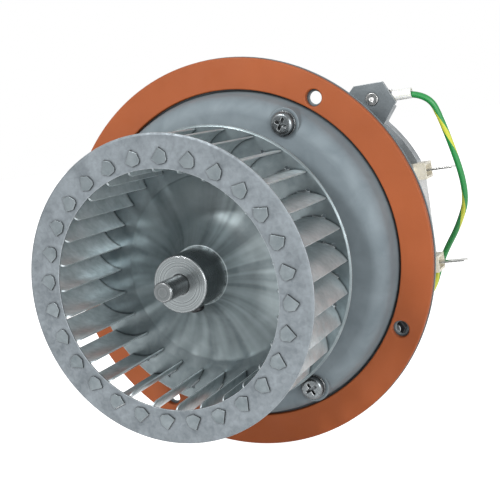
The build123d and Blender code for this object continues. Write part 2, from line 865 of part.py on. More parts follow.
# Stator yoke: stack of C-shaped laminations with the rotor's bore between its two arms
shading_gap_spot = (stator_bore_radius + shading_gap_inset, 0)
with BuildPart() as stator_yoke:
    with BuildSketch(across(stack_rear)):
        Polygon(
            (stack_left, -stack_half_height),
            (arm_right, -stack_half_height),
            (arm_right, -arm_root),
            (pole_body_right, -arm_root),
            (pole_body_right, arm_root),
            (arm_right, arm_root),
            (arm_right, stack_half_height),
            (stack_left, stack_half_height),
            align=None,
        )
        Circle(stator_bore_radius, mode=Mode.SUBTRACT)
        pole_gap_outer = pole_body_right - pole_bridge
        Rectangle(2 * pole_gap_outer, pole_gap, mode=Mode.SUBTRACT)
        with Locations(*motor_bolt_spots):
            Circle(motor_bolt_radius + motor_bolt_clearance, mode=Mode.SUBTRACT)
        with Locations(shading_spot, (-shading_spot[0], -shading_spot[1])):
            Circle(shading_wire / 2 + shading_clearance, mode=Mode.SUBTRACT)
    extrude(amount=stack_length)
stator_yoke.part.label = "stator_yoke"

# Core bar: laminations through the bobbin that close the yoke's arms
core_bar_left = arm_right - core_bar_width
with BuildPart() as core_bar:
    with BuildSketch(across(stack_rear)):
        with Locations(((arm_right + core_bar_left) / 2, 0)):
            Rectangle(core_bar_width, 2 * arm_root)
    extrude(amount=stack_length)
core_bar.part.label = "core_bar"

# Shading rings: copper loops through each pole and the gap beside it
with BuildPart() as shading_rings:
    for side in (1, -1):
        pole_spot = (side * shading_spot[0], side * shading_spot[1])
        gap_spot = (side * shading_gap_spot[0], 0)
        span = hypot(pole_spot[0] - gap_spot[0], pole_spot[1])
        lean = degrees(atan2(pole_spot[1], pole_spot[0] - gap_spot[0]))
        middle = ((pole_spot[0] + gap_spot[0]) / 2, pole_spot[1] / 2)
        with BuildSketch(across(stack_rear)):
            with Locations(pole_spot, gap_spot):
                Circle(shading_wire / 2)
        extrude(amount=stack_length)
        for face in (stack_front, stack_rear + shading_wire):
            with BuildSketch(across(face)):
                with Locations(middle):
                    SlotCenterToCenter(span, shading_wire, rotation=lean)
            extrude(amount=shading_wire)
shading_rings.part.label = "shading_rings"

# Bobbin: moulded tube with a flange and a terminal block at each end of the coil
bobbin_middle = (arm_right + core_bar_left) / 2
tube_width = core_bar_width + 2 * bobbin_fit + 2 * bobbin_wall
tube_length = stack_length + 2 * bobbin_fit + 2 * bobbin_wall
coil_width = tube_width + 2 * winding_side_build
coil_length = tube_length + 2 * winding_end_build
bobbin_top = arm_root - bobbin_fit
flange_top = bobbin_top - bobbin_flange_set
winding_top = flange_top - bobbin_flange_thickness
block_left = bobbin_middle + coil_width / 2 + bobbin_brim / 2
block_middle = stack_middle + terminal_block_offset
terminal_spots = [(block_middle, block_level) for block_level in terminal_block_levels]
with BuildPart() as bobbin:
    level = Plane.XY.offset(-bobbin_top)
    with BuildSketch(level):
        with Locations((bobbin_middle, stack_middle)):
            Rectangle(tube_width, tube_length)
    extrude(amount=2 * bobbin_top)
    for flange_base in (-flange_top, winding_top):
        with BuildSketch(Plane.XY.offset(flange_base)):
            with Locations((bobbin_middle, stack_middle)):
                RectangleRounded(coil_width + 2 * bobbin_brim, coil_length + 2 * bobbin_brim, winding_corner)
        extrude(amount=bobbin_flange_thickness)
    with BuildSketch(Plane.YZ.offset(terminal_block_right)):
        with Locations(*terminal_spots):
            Rectangle(terminal_block_width, terminal_block_height)
    extrude(amount=block_left - terminal_block_right)
    with BuildSketch(Plane.YZ.offset(terminal_block_right)):
        with Locations(*terminal_spots):
            Rectangle(
                terminal_block_width - 2 * block_pocket_wall,
                terminal_block_height - 2 * block_pocket_wall,
            )
    extrude(amount=-block_pocket_depth, mode=Mode.SUBTRACT)
    with BuildSketch(level):
        with Locations((bobbin_middle, stack_middle)):
            Rectangle(core_bar_width + 2 * bobbin_fit, stack_length + 2 * bobbin_fit)
    extrude(amount=2 * bobbin_top, mode=Mode.SUBTRACT)
    with BuildSketch(Plane.YZ.offset(terminal_block_right)):
        with Locations(*terminal_spots):
            Rectangle(terminal_width, terminal_thickness)
    extrude(amount=-terminal_seat, mode=Mode.SUBTRACT)
bobbin.part.label = "bobbin"

# Winding: enamelled wire under a wrap of tape, between the bobbin's flanges
with BuildPart() as winding:
    with BuildSketch(Plane.XY.offset(-winding_top)):
        with Locations((bobbin_middle, stack_middle)):
            RectangleRounded(coil_width, coil_length, winding_corner)
            Rectangle(tube_width, tube_length, mode=Mode.SUBTRACT)
    extrude(amount=2 * winding_top)
winding.part.label = "winding"

# Spade terminals, pressed into the terminal blocks
with BuildPart() as coil_terminals:
    with BuildSketch(Plane.YZ.offset(terminal_block_right - terminal_seat)):
        with Locations(*terminal_spots):
            Rectangle(terminal_width, terminal_thickness)
    extrude(amount=terminal_seat + terminal_reach)
    tip_edges = coil_terminals.edges().filter_by(Axis.Z).group_by(Axis.X)[-1]
    chamfer(tip_edges, terminal_width / 5)
coil_terminals.part.label = "coil_terminals"

# Long bolts through bracket, stack and shield, with their nuts and the spacers beside the stack
with BuildPart() as motor_bolts:
    with BuildSketch(across(bracket_front)):
        with Locations(*motor_bolt_spots):
            Circle(bolt_head_radius)
    extrude(amount=bolt_head_height)
    with BuildSketch(across(bracket_front)):
        with Locations(*motor_bolt_spots):
            Circle(motor_bolt_radius)
    extrude(amount=-(shield_rear + nut_height + bolt_stand - bracket_front))
motor_bolts.part.label = "motor_bolts"

with BuildPart() as motor_nuts:
    with BuildSketch(across(shield_rear)):
        with Locations(*motor_bolt_spots):
            RegularPolygon(nut_flat_radius, 6, major_radius=False)
            Circle(motor_bolt_radius, mode=Mode.SUBTRACT)
    extrude(amount=-nut_height)
motor_nuts.part.label = "motor_nuts"

with BuildPart() as stack_spacers:
    for start, end in ((bracket_rear, stack_front), (stack_rear, shield_front)):
        with BuildSketch(across(start)):
            with Locations(*motor_bolt_spots):
                Circle(stack_spacer_radius)
                Circle(motor_bolt_radius + motor_bolt_clearance, mode=Mode.SUBTRACT)
        extrude(amount=start - end)
stack_spacers.part.label = "stack_spacers"

# Rotor: laminated core between cast end rings, on the shaft
rotor_radius = stator_bore_radius - air_gap
rotor_front = stack_front - rotor_overhang
rotor_rear = stack_rear + rotor_overhang
with BuildPart() as rotor_core:
    with BuildSketch(across(rotor_rear)):
        Circle(rotor_radius)
        Circle(shaft_radius, mode=Mode.SUBTRACT)
    extrude(amount=rotor_rear - rotor_front)
rotor_core.part.label = "rotor_core"

with BuildPart() as rotor_end_rings:
    for base in (rotor_front, rotor_rear + end_ring_thickness):
        with BuildSketch(across(base)):
            Circle(rotor_radius - air_gap)
            Circle(rotor_radius - air_gap - end_ring_width, mode=Mode.SUBTRACT)
        extrude(amount=end_ring_thickness)
rotor_end_rings.part.label = "rotor_end_rings"

# Thrust washers beside the bushes, and the collars that space them from the rotor
front_washer_front = front_bush_centre + bush_length / 2 + thrust_play
rear_washer_rear = rear_bush_centre - bush_length / 2 - thrust_play
with BuildPart() as thrust_washers:
    for rear_face in (front_washer_front + thrust_washer_thickness, rear_washer_rear):
        with BuildSketch(across(rear_face)):
            Circle(thrust_washer_radius)
            Circle(shaft_radius, mode=Mode.SUBTRACT)
        extrude(amount=thrust_washer_thickness)
thrust_washers.part.label = "thrust_washers"

with BuildPart() as rotor_collars:
    for front_face, rear_face in (
        (front_washer_front + thrust_washer_thickness, rotor_front),
        (rotor_rear, rear_washer_rear - thrust_washer_thickness),
    ):
        with BuildSketch(across(rear_face)):
            Circle(thrust_washer_radius - rotor_collar_set)
            Circle(shaft_radius, mode=Mode.SUBTRACT)
        extrude(amount=rear_face - front_face)
rotor_collars.part.label = "rotor_collars"

# Earth tab: tinned brass blade behind the bracket's ear, stepped back from it
tab_rear = bracket_rear + earth_tab_thickness
with BuildPart() as earth_tab:
    with BuildSketch(Plane.XY.offset(lug_rivet_spot[1] - earth_tab_width / 2)):
        Polygon(
            (earth_tab_left, bracket_rear),
            (earth_tab_bend, bracket_rear),
            (earth_tab_bend + earth_tab_step / 2, bracket_rear + earth_tab_step),
            (earth_tab_right, bracket_rear + earth_tab_step),
            (earth_tab_right, tab_rear + earth_tab_step),
            (earth_tab_bend, tab_rear + earth_tab_step),
            (earth_tab_bend - earth_tab_step / 2, tab_rear),
            (earth_tab_left, tab_rear),
            align=None,
        )
    extrude(amount=earth_tab_width)
    with BuildSketch(across(tab_rear)):
        with Locations(lug_rivet_spot):
            Circle(rivet_radius)
    extrude(amount=earth_tab_thickness, mode=Mode.SUBTRACT)
earth_tab.part.label = "earth_tab"

# Eyelet that rivets the earth tab to the ear
with BuildPart() as earth_rivet:
    for base, thickness, radius in (
        (bracket_front, rivet_brim_height, rivet_brim_radius),
        (tab_rear, tab_rear - bracket_front, rivet_radius),
        (tab_rear + rivet_brim_height, rivet_brim_height, rivet_radius + rivet_brim_height),
    ):
        with BuildSketch(across(base)):
            with Locations(lug_rivet_spot):
                Circle(radius)
        extrude(amount=thickness)
    with BuildSketch(across(tab_rear + rivet_brim_height)):
        with Locations(lug_rivet_spot):
            Circle(rivet_bore_radius)
    extrude(amount=tab_rear - bracket_front + 2 * rivet_brim_height, mode=Mode.SUBTRACT)
earth_rivet.part.label = "earth_rivet"

# Receptacle on the earth tab: folded box and crimp barrel
tab_middle = bracket_rear + earth_tab_step + earth_tab_thickness / 2
wire_level = lug_rivet_spot[1]
with BuildPart() as earth_receptacle:
    with BuildSketch(Plane.YZ.offset(receptacle_left)):
        with Locations((tab_middle, wire_level)):
            Rectangle(
                earth_tab_thickness + 2 * (receptacle_fit + receptacle_wall),
                earth_tab_width + 2 * (receptacle_fit + receptacle_wall),
            )
    extrude(amount=receptacle_right - receptacle_left)
    with BuildSketch(Plane.YZ.offset(receptacle_left)):
        with Locations((tab_middle, wire_level)):
            Rectangle(earth_tab_thickness + 2 * receptacle_fit, earth_tab_width + 2 * receptacle_fit)
    extrude(amount=earth_tab_right - receptacle_left + receptacle_fit, mode=Mode.SUBTRACT)
    with BuildSketch(Plane.YZ.offset(receptacle_right)):
        with Locations((tab_middle, wire_level)):
            Circle(barrel_radius)
            Circle(wire_radius, mode=Mode.SUBTRACT)
    extrude(amount=barrel_right - receptacle_right)
earth_receptacle.part.label = "earth_receptacle"

# Sleeve over the crimp barrel
with BuildPart() as earth_sleeve:
    with BuildSketch(Plane.YZ.offset(sleeve_left)):
        with Locations((tab_middle, wire_level)):
            Circle(barrel_radius + sleeve_wall)
            Circle(barrel_radius, mode=Mode.SUBTRACT)
    extrude(amount=sleeve_right - sleeve_left)
earth_sleeve.part.label = "earth_sleeve"

# Ring terminal on the earth lug, its barrel bent back to point along +Y
ring_rear_face = bracket_rear + ring_terminal_thickness
barrel_offset = spot(ring_barrel_offset, ring_barrel_turn)
barrel_spot = (earth_lug_spot[0] + barrel_offset[0], earth_lug_spot[1] + barrel_offset[1])
barrel_rear = ring_rear_face + ring_barrel_length
with BuildPart() as ring_terminal:
    with BuildSketch(across(ring_rear_face)):
        with Locations(earth_lug_spot):
            Circle(ring_terminal_radius)
        with Locations(((earth_lug_spot[0] + barrel_spot[0]) / 2, (earth_lug_spot[1] + barrel_spot[1]) / 2)):
            SlotCenterToCenter(ring_barrel_offset, 2 * barrel_radius, rotation=ring_barrel_turn)
        with Locations(earth_lug_spot):
            Circle(earth_screw_radius + motor_bolt_clearance, mode=Mode.SUBTRACT)
    extrude(amount=ring_terminal_thickness)
    with BuildSketch(across(barrel_rear)):
        with Locations(barrel_spot):
            Circle(barrel_radius)
            Circle(wire_radius, mode=Mode.SUBTRACT)
    extrude(amount=ring_barrel_length)
ring_terminal.part.label = "ring_terminal"

# Earth screw from the motor's side, and its serrated nut in front of the lug
with BuildPart() as earth_screw:
    with BuildSketch(across(ring_rear_face + earth_head_height)):
        with Locations(earth_lug_spot):
            Circle(earth_head_radius)
    extrude(amount=earth_head_height)
    with BuildSketch(across(ring_rear_face)):
        with Locations(earth_lug_spot):
            Circle(earth_screw_radius)
    extrude(amount=ring_rear_face - bracket_front + earth_nut_height + bolt_stand)
earth_screw.part.label = "earth_screw"

with BuildPart() as earth_nut:
    with BuildSketch(across(bracket_front)):
        with Locations(earth_lug_spot):
            RegularPolygon(earth_nut_flat_radius, 6, major_radius=False)
            Circle(earth_screw_radius, mode=Mode.SUBTRACT)
    extrude(amount=earth_nut_height)
earth_nut.part.label = "earth_nut"

# Earth wire from the receptacle, out past the coil's terminals and under the coil to the ring terminal
wire_start = barrel_right - wire_crimp
wire_end = barrel_rear - wire_crimp
wire_route = [
    (wire_start, tab_middle, wire_level),
    (84.3, tab_middle, wire_level),
    (88.9, 43.0, 42.5),
    (93.2, 53.5, 11.0),
    (86.0, 60.0, -4.0),
    (76.2, 68.5, -16.8),
    (71.3, 71.0, -25.8),
    (69.0, 66.0, -33.5),
    (65.0, 58.5, -38.6),
    (barrel_spot[0], 50.0, barrel_spot[1]),
    (barrel_spot[0], wire_end, barrel_spot[1]),
]
route_points = [Vector(*point) for point in wire_route]
route_runs = [after - before for before, after in zip(route_points, route_points[1:])]
wire_radii = [
    0.45 * min(first.length, second.length) / tan(radians(first.get_angle(second)) / 2)
    for first, second in zip(route_runs, route_runs[1:])
]
with BuildPart() as earth_wire:
    with BuildLine() as wire_line:
        FilletPolyline(*wire_route, radius=wire_radii)
    with BuildSketch(Plane(origin=route_points[0], z_dir=route_runs[0])):
        Circle(wire_radius)
    sweep(path=wire_line.line)
earth_wire.part.label = "earth_wire"
print("wire runs", [round(run.length, 1) for run in route_runs])
print("wire radii", [round(radius, 1) for radius in wire_radii])
print("wire length", round(sum(edge.length for edge in wire_line.edges()), 1))
print("wire volume over section", round(earth_wire.part.volume / (pi * wire_radius**2), 1))

pieces = [
    mounting_plate.part,
    gasket.part,
    screw_washers.part,
    plate_screws,
    standoffs.part,
    shaft_seal.part,
    seal_cup.part,
    shaft.part,
    wheel_front_ring.part,
    wheel_back_plate.part,
    wheel_blades.part,
    wheel_hub.part,
    set_screw.part,
    cooling_fan.part,
    cooling_fan_hub.part,
    front_bracket.part,
    bracket_screws,
    rear_shield.part,
    front_bearing,
    rear_bearing,
    front_felt,
    rear_felt,
    front_bearing_cap,
    rear_bearing_cap,
    stator_yoke.part,
    core_bar.part,
    shading_rings.part,
    bobbin.part,
    winding.part,
    coil_terminals.part,
    motor_bolts.part,
    motor_nuts.part,
    stack_spacers.part,
    rotor_core.part,
    rotor_end_rings.part,
    thrust_washers.part,
    rotor_collars.part,
    earth_tab.part,
    earth_rivet.part,
    earth_receptacle.part,
    earth_sleeve.part,
    ring_terminal.part,
    earth_screw.part,
    earth_nut.part,
    earth_wire.part,
]
for piece in pieces:
    export_step(piece, f"parts/{piece.label}.step")
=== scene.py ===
from math import cos, pi, radians, sin

import bmesh
import bpy
from mathutils import Euler, Matrix, Vector


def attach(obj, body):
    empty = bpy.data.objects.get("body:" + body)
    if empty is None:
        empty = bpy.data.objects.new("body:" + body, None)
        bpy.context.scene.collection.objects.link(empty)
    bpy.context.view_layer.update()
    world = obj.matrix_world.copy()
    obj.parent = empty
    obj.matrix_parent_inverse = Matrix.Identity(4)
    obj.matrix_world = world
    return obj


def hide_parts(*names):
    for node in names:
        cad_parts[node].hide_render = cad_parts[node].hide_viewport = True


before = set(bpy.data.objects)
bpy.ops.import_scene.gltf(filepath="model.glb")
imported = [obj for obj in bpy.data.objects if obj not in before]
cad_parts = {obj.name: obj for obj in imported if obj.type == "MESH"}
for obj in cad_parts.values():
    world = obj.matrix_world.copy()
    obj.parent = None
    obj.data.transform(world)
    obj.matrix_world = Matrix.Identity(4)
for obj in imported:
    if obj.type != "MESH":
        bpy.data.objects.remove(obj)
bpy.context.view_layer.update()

# Camera: at the photograph's place, right of the shaft and a little above it, rolled as the
# photograph is against the part's own upright.
camera_spot = (0.181355, -0.385656, 0.057212)
camera_turns = (82.5536, 9.2022, 23.2484)
camera_lens = 69.92
film_width = 36.0

camera = bpy.data.objects.new("camera", bpy.data.cameras.new("camera"))
camera.data.sensor_width = film_width
camera.data.lens = camera_lens
camera.data.clip_start = 0.01
camera.matrix_world = Matrix.LocRotScale(camera_spot, Euler([radians(turn) for turn in camera_turns]), None)
bpy.context.scene.collection.objects.link(camera)
bpy.context.scene.camera = camera
bpy.context.scene.view_settings.view_transform = "Standard"

# Studio: a white floor under the flange. A small lamp above in front marks the bell, a broad one
# stands on the right and a faint one on the left. Seen directly, in metal or through a clear thing,
# the floor and the surroundings are plain white.
white = (1, 1, 1, 1)
light_from_surroundings = 0.45
floor_grey = (0.8, 0.8, 0.8, 1)
floor_level = -0.0875
floor_reach = 6


def add_lamp(name, spot, width, height, power):
    lamp = bpy.data.objects.new(name, bpy.data.lights.new(name, "AREA"))
    lamp.data.shape = "RECTANGLE"
    lamp.data.size = width
    lamp.data.size_y = height
    lamp.data.energy = power
    lamp.location = spot
    lamp.rotation_euler = Vector(spot).to_track_quat("Z", "Y").to_euler()
    bpy.context.scene.collection.objects.link(lamp)


def worked_out(tree, operation, *values):
    step = tree.nodes.new("ShaderNodeMath")
    step.operation = operation
    for place, value in enumerate(values):
        if isinstance(value, (int, float)):
            step.inputs[place].default_value = value
        else:
            tree.links.new(value, step.inputs[place])
    return step.outputs[0]


def seen_plainly(tree):
    rays = tree.nodes.new("ShaderNodeLightPath")
    bent = worked_out(tree, "MAXIMUM", rays.outputs["Is Glossy Ray"], rays.outputs["Is Transmission Ray"])
    return worked_out(tree, "MAXIMUM", rays.outputs["Is Camera Ray"], bent)


add_lamp("key_lamp", (-0.20, -0.80, 0.56), width=0.20, height=0.22, power=7)
add_lamp("right_lamp", (0.85, -0.75, 0.14), width=0.8, height=0.44, power=9)
add_lamp("left_lamp", (-1.0, -0.6, 0.3), width=1.0, height=1.0, power=0.4)

world = bpy.data.worlds.new("studio")
bpy.context.scene.world = world
world.use_nodes = True
sky = world.node_tree
sky.nodes.clear()
sky_out = sky.nodes.new("ShaderNodeOutputWorld")
sky_mix = sky.nodes.new("ShaderNodeMixShader")
sky.links.new(seen_plainly(sky), sky_mix.inputs[0])
for place, strength in ((1, light_from_surroundings), (2, 1.0)):
    sky_part = sky.nodes.new("ShaderNodeBackground")
    sky_part.inputs["Color"].default_value = white
    sky_part.inputs["Strength"].default_value = strength
    sky.links.new(sky_part.outputs[0], sky_mix.inputs[place])
sky.links.new(sky_mix.outputs[0], sky_out.inputs["Surface"])

floor_corners = [(x * floor_reach, y * floor_reach, floor_level) for x, y in ((-1, -1), (1, -1), (1, 1), (-1, 1))]
floor_mesh = bpy.data.meshes.new("floor")
floor_mesh.from_pydata(floor_corners, [], [(0, 1, 2, 3)])
studio_floor = bpy.data.objects.new("studio_floor", floor_mesh)
bpy.context.scene.collection.objects.link(studio_floor)
floor_material = bpy.data.materials.new("floor_white")
floor_material.use_nodes = True
floor_nodes = floor_material.node_tree
floor_nodes.nodes.clear()
floor_out = floor_nodes.nodes.new("ShaderNodeOutputMaterial")
floor_matt = floor_nodes.nodes.new("ShaderNodeBsdfDiffuse")
floor_matt.inputs["Color"].default_value = floor_grey
floor_glow = floor_nodes.nodes.new("ShaderNodeEmission")
floor_sum = floor_nodes.nodes.new("ShaderNodeAddShader")
floor_nodes.links.new(seen_plainly(floor_nodes), floor_glow.inputs["Strength"])
floor_nodes.links.new(floor_matt.outputs[0], floor_sum.inputs[0])
floor_nodes.links.new(floor_glow.outputs[0], floor_sum.inputs[1])
floor_nodes.links.new(floor_sum.outputs[0], floor_out.inputs["Surface"])
studio_floor.data.materials.append(floor_material)

# Mounting plate: a disc of galvanised steel whose middle is pressed forward as a shallow drum, with
# the shaft seal's cup behind it. The zinc shows soft cloudy patches and fine grain, and its cut edges
# are a little brighter.
noise_low, noise_high = 0.3, 0.7
edge_width = 0.0004
# Painted shade in corners and recesses: how far it reaches, and the openness over which it fades out.
corner_reach = 0.0012
open_from, open_to = 0.55, 0.95
patch_share, smudge_share = 0.6, 0.4
bared_share = 0.6
# Painted shade in corners and recesses: how much of it is mixed in, and how dark it is against the dull colour.
painted_shade_share = 0.75
painted_shade_darkness = 0.25
grain_strength = 0.6


def new_effect(name, inputs, outputs):
    effect = bpy.data.node_groups.new(name, "ShaderNodeTree")
    for label, value in inputs:
        effect.interface.new_socket(label, in_out="INPUT", socket_type="NodeSocketFloat").default_value = value
    for label, kind in outputs:
        effect.interface.new_socket(label, in_out="OUTPUT", socket_type=kind)
    return effect, effect.nodes.new("NodeGroupInput"), effect.nodes.new("NodeGroupOutput")


def placed(tree, effect, **values):
    """Puts a shared effect in a material. A value's name is its socket's, such as patch_scale."""
    step = tree.nodes.new("ShaderNodeGroup")
    step.node_tree = effect
    for label, value in values.items():
        step.inputs[label.replace("_", " ").title()].default_value = value
    return step


def times(tree, first, second):
    return worked_out(tree, "MULTIPLY", first, second)


def plus(tree, first, second):
    return worked_out(tree, "ADD", first, second)


def spread(tree, value, low, high, to_low, to_high):
    step = tree.nodes.new("ShaderNodeMapRange")
    tree.links.new(value, step.inputs["Value"])
    for label, number in (("From Min", low), ("From Max", high), ("To Min", to_low), ("To Max", to_high)):
        step.inputs[label].default_value = number
    return step.outputs["Result"]


def mixed(tree, amount, first, second):
    step = tree.nodes.new("ShaderNodeMix")
    step.data_type = "RGBA"
    for label, value in (("Factor", amount), ("A", first), ("B", second)):
        if isinstance(value, tuple):
            step.inputs[label].default_value = (*value, 1)
        else:
            tree.links.new(value, step.inputs[label])
    return step.outputs["Result"]


def new_finish(name):
    made = bpy.data.materials.new(name)
    made.use_nodes = True
    return made, made.node_tree, made.node_tree.nodes["Principled BSDF"]


def raised(tree, surface, height, depth, strength=1.0, over=None):
    """Lifts the surface by a height, on top of an earlier normal where there is one."""
    step = tree.nodes.new("ShaderNodeBump")
    step.inputs["Strength"].default_value = strength
    step.inputs["Distance"].default_value = depth
    tree.links.new(height, step.inputs["Height"])
    if over is not None:
        tree.links.new(over, step.inputs["Normal"])
    tree.links.new(step.outputs["Normal"], surface.inputs["Normal"])


def dress(material, *names):
    for name in names:
        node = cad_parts[name]
        node.data.materials.clear()
        node.data.materials.append(material)


mottle, mottle_in, mottle_out = new_effect(
    "sheet_mottle",
    [("Patch Scale", 60.0), ("Grain Scale", 900.0)],
    [("Patches", "NodeSocketFloat"), ("Smudges", "NodeSocketFloat"), ("Grain", "NodeSocketFloat")],
)
mottle_place = mottle.nodes.new("ShaderNodeTexCoord").outputs["Object"]
for label, source, factor, distortion in (
    ("Patches", "Patch Scale", 1.0, 0.0),
    ("Smudges", "Patch Scale", 3.4, 0.6),
    ("Grain", "Grain Scale", 1.0, 0.0),
):
    layer = mottle.nodes.new("ShaderNodeTexNoise")
    mottle.links.new(mottle_place, layer.inputs["Vector"])
    mottle.links.new(times(mottle, mottle_in.outputs[source], factor), layer.inputs["Scale"])
    layer.inputs["Detail"].default_value = 5.0
    layer.inputs["Distortion"].default_value = distortion
    clearer = spread(mottle, layer.outputs["Fac"], noise_low, noise_high, 0.0, 1.0)
    mottle.links.new(clearer, mottle_out.inputs[label])

wear, wear_in, wear_out = new_effect(
    "edge_wear",
    [("Gain", 4.0)],
    [("Mask", "NodeSocketFloat"), ("Normal", "NodeSocketVector")],
)
wear_bevel = wear.nodes.new("ShaderNodeBevel")
wear_bevel.samples = 6
wear_bevel.inputs["Radius"].default_value = edge_width
wear_facing = wear.nodes.new("ShaderNodeVectorMath")
wear_facing.operation = "DOT_PRODUCT"
wear.links.new(wear.nodes.new("ShaderNodeNewGeometry").outputs["Normal"], wear_facing.inputs[0])
wear.links.new(wear_bevel.outputs["Normal"], wear_facing.inputs[1])
wear_turned = worked_out(wear, "SUBTRACT", 1.0, wear_facing.outputs["Value"])
wear_amount = wear.nodes.new("ShaderNodeClamp")
wear.links.new(times(wear, wear_turned, wear_in.outputs["Gain"]), wear_amount.inputs["Value"])
wear.links.new(wear_amount.outputs[0], wear_out.inputs["Mask"])
wear.links.new(wear_bevel.outputs["Normal"], wear_out.inputs["Normal"])

# Painted shade: an ambient occlusion mask that marks corners, creases and recesses, where shade falls.
painted_corner_shade, shade_in, shade_out = new_effect(
    "painted_corner_shade",
    [("Reach", corner_reach)],
    [("Mask", "NodeSocketFloat")],
)
shade_openness = painted_corner_shade.nodes.new("ShaderNodeAmbientOcclusion")
shade_openness.samples = 6
painted_corner_shade.links.new(shade_in.outputs["Reach"], shade_openness.inputs["Distance"])
shade_closed = spread(painted_corner_shade, shade_openness.outputs["AO"], open_from, open_to, 1.0, 0.0)
painted_corner_shade.links.new(shade_closed, shade_out.inputs["Mask"])


def metal(name, dull, bright, metallic, smooth, rough, patch_scale=60.0, grain_scale=900.0, grain_depth=0.00002,
          worn=(0.62, 0.64, 0.65)):
    """A worn metal: colour and gloss run from dull patches to bright ones, with brighter edges and painted shade in
    corners and recesses.
    """
    made, tree, surface = new_finish(name)
    surface.inputs["Metallic"].default_value = metallic
    marks = placed(tree, mottle, patch_scale=patch_scale, grain_scale=grain_scale)
    edges = placed(tree, wear)
    corner_shade = placed(tree, painted_corner_shade)
    patches = times(tree, marks.outputs["Patches"], patch_share)
    smudges = times(tree, marks.outputs["Smudges"], smudge_share)
    colour = mixed(tree, plus(tree, patches, smudges), dull, bright)
    bared = mixed(tree, times(tree, edges.outputs["Mask"], bared_share), colour, worn)
    # Painted shade: corners and recesses are darkened towards a quarter of the dull colour.
    shade = tuple(painted_shade_darkness * part for part in dull)
    shaded_colour = mixed(tree, times(tree, corner_shade.outputs["Mask"], painted_shade_share), bared, shade)
    tree.links.new(shaded_colour, surface.inputs["Base Color"])
    gloss = spread(tree, marks.outputs["Smudges"], 0.0, 1.0, rough, smooth)
    tree.links.new(gloss, surface.inputs["Roughness"])
    raised(tree, surface, marks.outputs["Grain"], grain_depth, grain_strength, over=edges.outputs["Normal"])
    return made


galvanised = metal(
    "galvanised_zinc",
    dull=(0.113, 0.142, 0.160),
    bright=(0.180, 0.218, 0.238),
    metallic=0.10,
    smooth=0.62,
    rough=0.78,
    patch_scale=34.0,
    grain_scale=800.0,
    worn=(0.42, 0.46, 0.48),
)
dress(galvanised, "mounting_plate", "seal_cup")

# Gasket: a flat ring of red-brown silicone, cut from sheet, lying on the flange's front face.
# Its cut edges are softly rounded, and its face has a faint cloudy bloom.
gasket_outer = 0.0867
gasket_inner = 0.0732
gasket_round = 0.0005
gasket_depth = 0.003
gasket_hole = 0.0036
gasket_hole_circle = 0.078
gasket_hole_turns = (54.2, 234.2, -28.6, 151.4)
gasket_edge_angle = 40
rim_points, bore_points, hole_points = 220, 200, 40
silicone_dull = (0.245, 0.058, 0.014)
silicone_bright = (0.292, 0.072, 0.019)
silicone_smooth, silicone_rough = 0.50, 0.66
moulded_grain_depth = 0.00002
moulded_grain_strength = 0.4


def ring_of_points(centre, radius, count):
    turns = [2 * pi * k / count for k in range(count)]
    return [(centre[0] + radius * cos(turn), centre[1] + radius * sin(turn)) for turn in turns]


gasket_outlines = [
    ring_of_points((0, 0), gasket_outer, rim_points),
    ring_of_points((0, 0), gasket_inner, bore_points),
]
for hole_turn in gasket_hole_turns:
    hole_centre = (gasket_hole_circle * cos(radians(hole_turn)), gasket_hole_circle * sin(radians(hole_turn)))
    gasket_outlines.append(ring_of_points(hole_centre, gasket_hole, hole_points))

gasket_drawn = bpy.data.curves.new("gasket_outline", "CURVE")
gasket_drawn.dimensions = "2D"
gasket_drawn.fill_mode = "BOTH"
gasket_drawn.extrude = gasket_depth / 2 - gasket_round
gasket_drawn.bevel_depth = gasket_round
gasket_drawn.bevel_resolution = 3
gasket_drawn.offset = -gasket_round
for outline in gasket_outlines:
    cut_line = gasket_drawn.splines.new("POLY")
    cut_line.points.add(len(outline) - 1)
    for point, spot in zip(cut_line.points, outline):
        point.co = (spot[0], spot[1], 0, 1)
    cut_line.use_cyclic_u = True
gasket_holder = bpy.data.objects.new("gasket_drawn", gasket_drawn)
bpy.context.scene.collection.objects.link(gasket_holder)
bpy.context.view_layer.update()
gasket_mesh = bpy.data.meshes.new_from_object(gasket_holder.evaluated_get(bpy.context.evaluated_depsgraph_get()))
bpy.data.objects.remove(gasket_holder)
gasket_mesh.name = "silicone_gasket"
for vertex in gasket_mesh.vertices:
    x, y, z = vertex.co
    vertex.co = (x, gasket_depth / 2 - z, y)
gasket_mesh.materials.clear()
gasket = bpy.data.objects.new("silicone_gasket", gasket_mesh)
bpy.context.scene.collection.objects.link(gasket)
gasket_mesh.shade_smooth()
gasket_mesh.set_sharp_from_angle(angle=radians(gasket_edge_angle))

silicone, silicone_tree, silicone_surface = new_finish("red_brown_silicone")
silicone_surface.inputs["Specular IOR Level"].default_value = 0.3
silicone_marks = placed(silicone_tree, mottle, patch_scale=32.0, grain_scale=1400.0)
silicone_colour = mixed(silicone_tree, silicone_marks.outputs["Patches"], silicone_dull, silicone_bright)
silicone_tree.links.new(silicone_colour, silicone_surface.inputs["Base Color"])
silicone_smudges = silicone_marks.outputs["Smudges"]
silicone_gloss = spread(silicone_tree, silicone_smudges, 0.0, 1.0, silicone_smooth, silicone_rough)
silicone_tree.links.new(silicone_gloss, silicone_surface.inputs["Roughness"])
silicone_grain = silicone_marks.outputs["Grain"]
raised(silicone_tree, silicone_surface, silicone_grain, moulded_grain_depth, moulded_grain_strength)
gasket.data.materials.append(silicone)
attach(gasket, "frame")
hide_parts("gasket")
